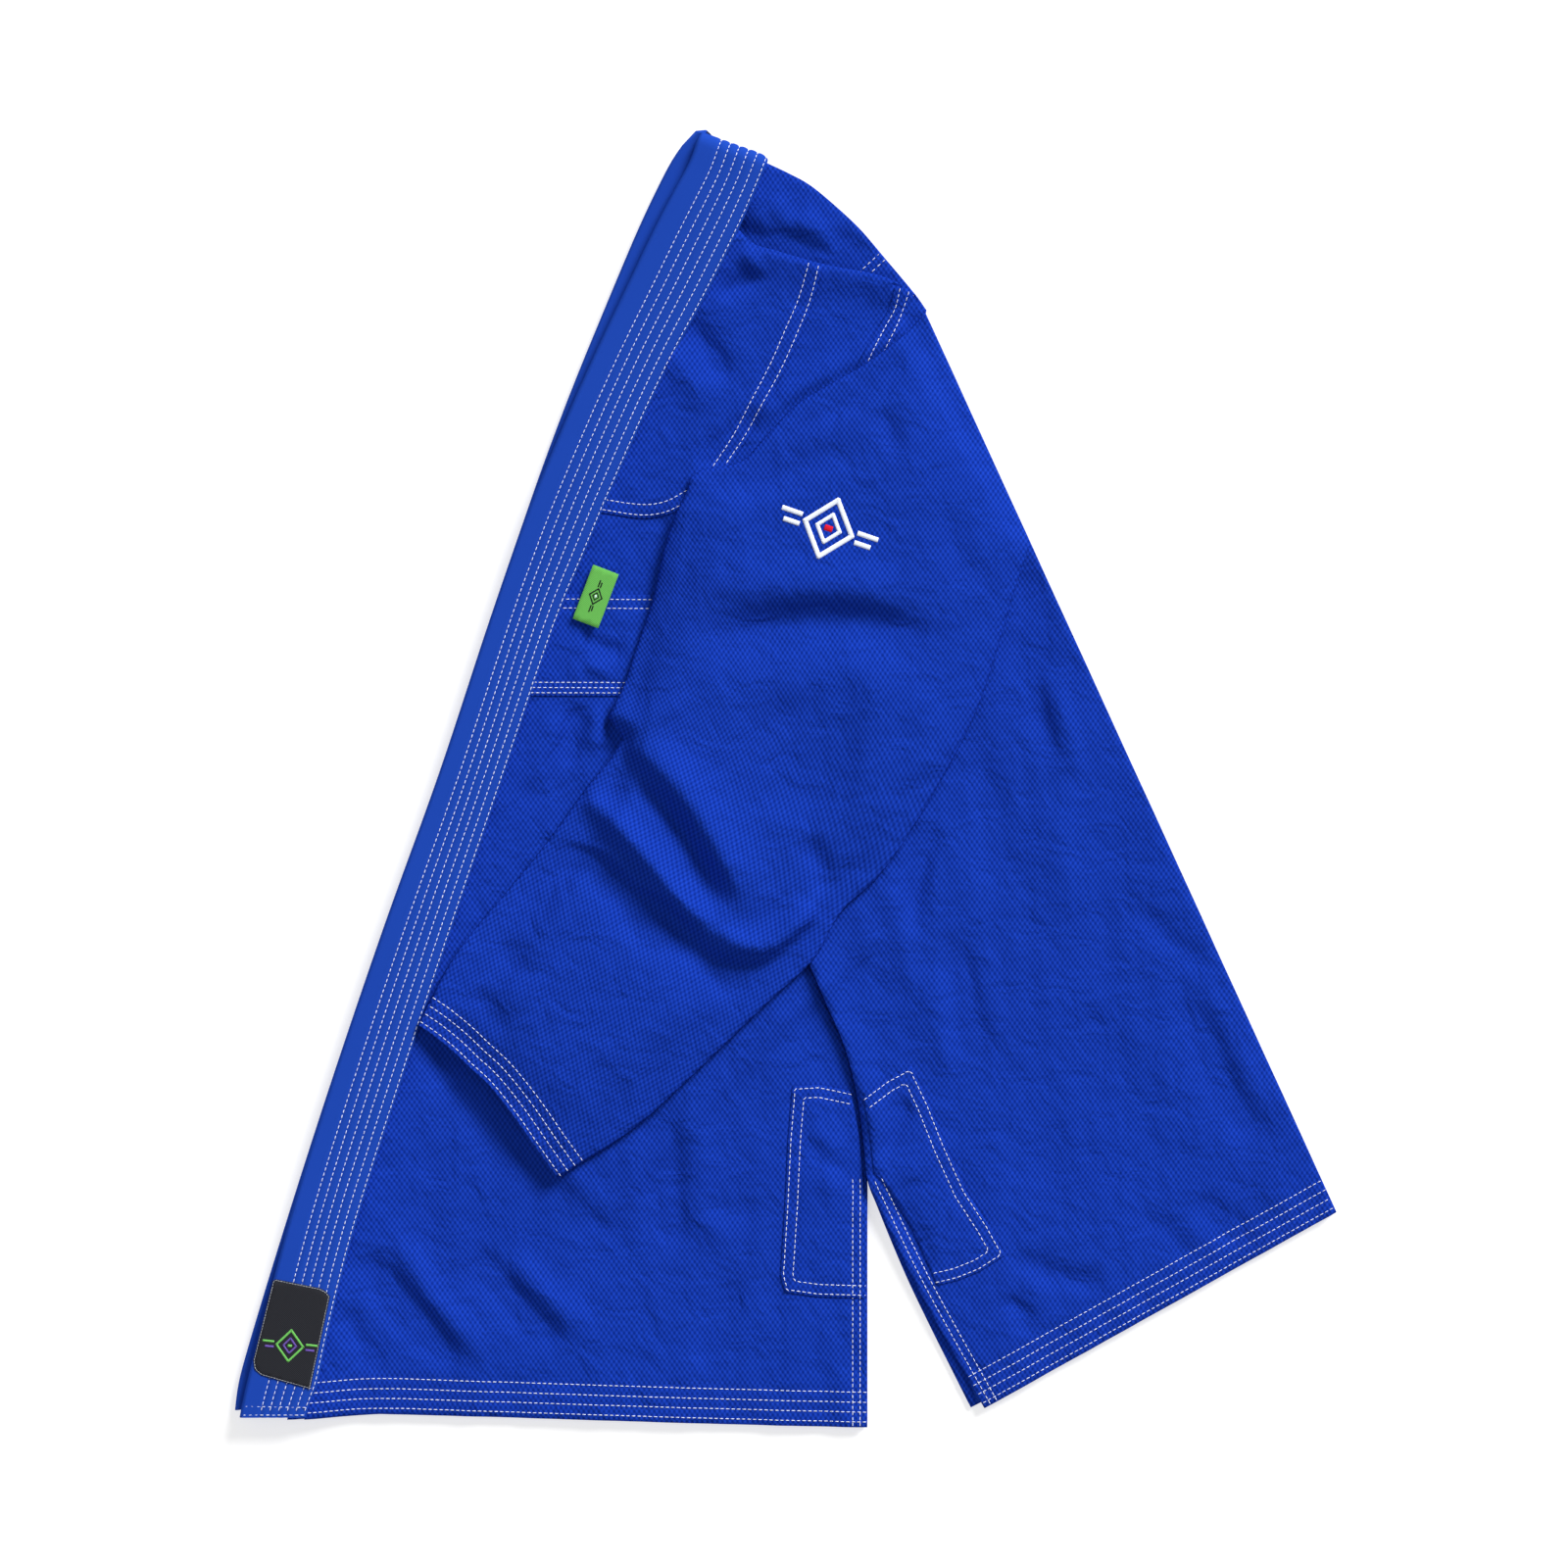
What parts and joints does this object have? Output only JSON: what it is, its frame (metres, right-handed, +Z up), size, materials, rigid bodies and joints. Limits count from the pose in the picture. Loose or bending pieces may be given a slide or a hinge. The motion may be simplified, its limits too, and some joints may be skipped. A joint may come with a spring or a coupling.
{
  "type": "grappling training jacket",
  "caption": "Blue pearl-weave martial arts jacket, folded in half down the back and laid flat, with a stiff collar, side vents, and a folded sleeve that lifts.",
  "frame": {"origin": "centre of the bounding box's bottom face, on the surface that the jacket lies on", "axes": "+Z up out of the surface, +Y from the hem towards the nape of the collar, +X towards the fold down the back"},
  "size_m": [0.743, 0.8818, 0.0291],
  "materials": {
    "pearl_weave": "royal blue pearl-weave cotton with white contrast stitching",
    "facing_twill": "royal blue cotton twill tape",
    "collar_twill": "smooth royal blue cotton twill in six stitched channels",
    "collar_core": "firm foamed rubber strip",
    "black_label": "black satin-woven label with a pale border",
    "green_tab": "bright green woven tab",
    "thread": "white embroidery thread"
  },
  "bodies": {
    "jacket": {"collar_cover": "collar_twill", "collar_core": "collar_core", "lapel_label": "black_label", "left_front_panel": "pearl_weave", "back_panel_left_half": "pearl_weave", "left_neck_patch": "pearl_weave", "left_chest_patch": "pearl_weave", "left_vent_patch_front": "pearl_weave", "left_vent_patch_back": "pearl_weave", "left_front_hem_tape": "facing_twill", "left_back_hem_tape": "facing_twill", "left_side_seam_tape": "facing_twill", "left_armhole_tape": "facing_twill", "left_sleeve_head": "pearl_weave", "right_front_panel": "pearl_weave", "back_panel_right_half": "pearl_weave", "right_neck_patch": "pearl_weave", "right_chest_patch": "pearl_weave", "right_vent_patch_front": "pearl_weave", "right_vent_patch_back": "pearl_weave", "right_front_hem_tape": "facing_twill", "right_back_hem_tape": "facing_twill", "right_side_seam_tape": "facing_twill", "right_armhole_tape": "facing_twill", "right_sleeve_head": "pearl_weave", "right_sleeve_under": "pearl_weave", "right_sleeve_upper": "pearl_weave", "right_cuff_facing": "facing_twill"},
    "left_sleeve": {"left_sleeve_under": "pearl_weave", "left_sleeve_upper": "pearl_weave", "left_cuff_facing": "facing_twill", "sleeve_emblem": "thread"},
    "tab": {"tab_label": "green_tab"}
  },
  "joints": [
    {"name": "left_sleeve_lift", "type": "hinge", "parent": "jacket", "child": "left_sleeve", "pos_m": [0.0945, 0.3109, 0.018], "axis": [-0.8192, -0.5736, 0], "range_deg": [0, 90]},
    {"name": "tab_label_flip", "type": "hinge", "parent": "jacket", "child": "tab", "pos_m": [-0.12898, 0.14089, 0.0188], "axis": [-0.3554, -0.9347, 0], "range_deg": [0, 150]}
  ]
}
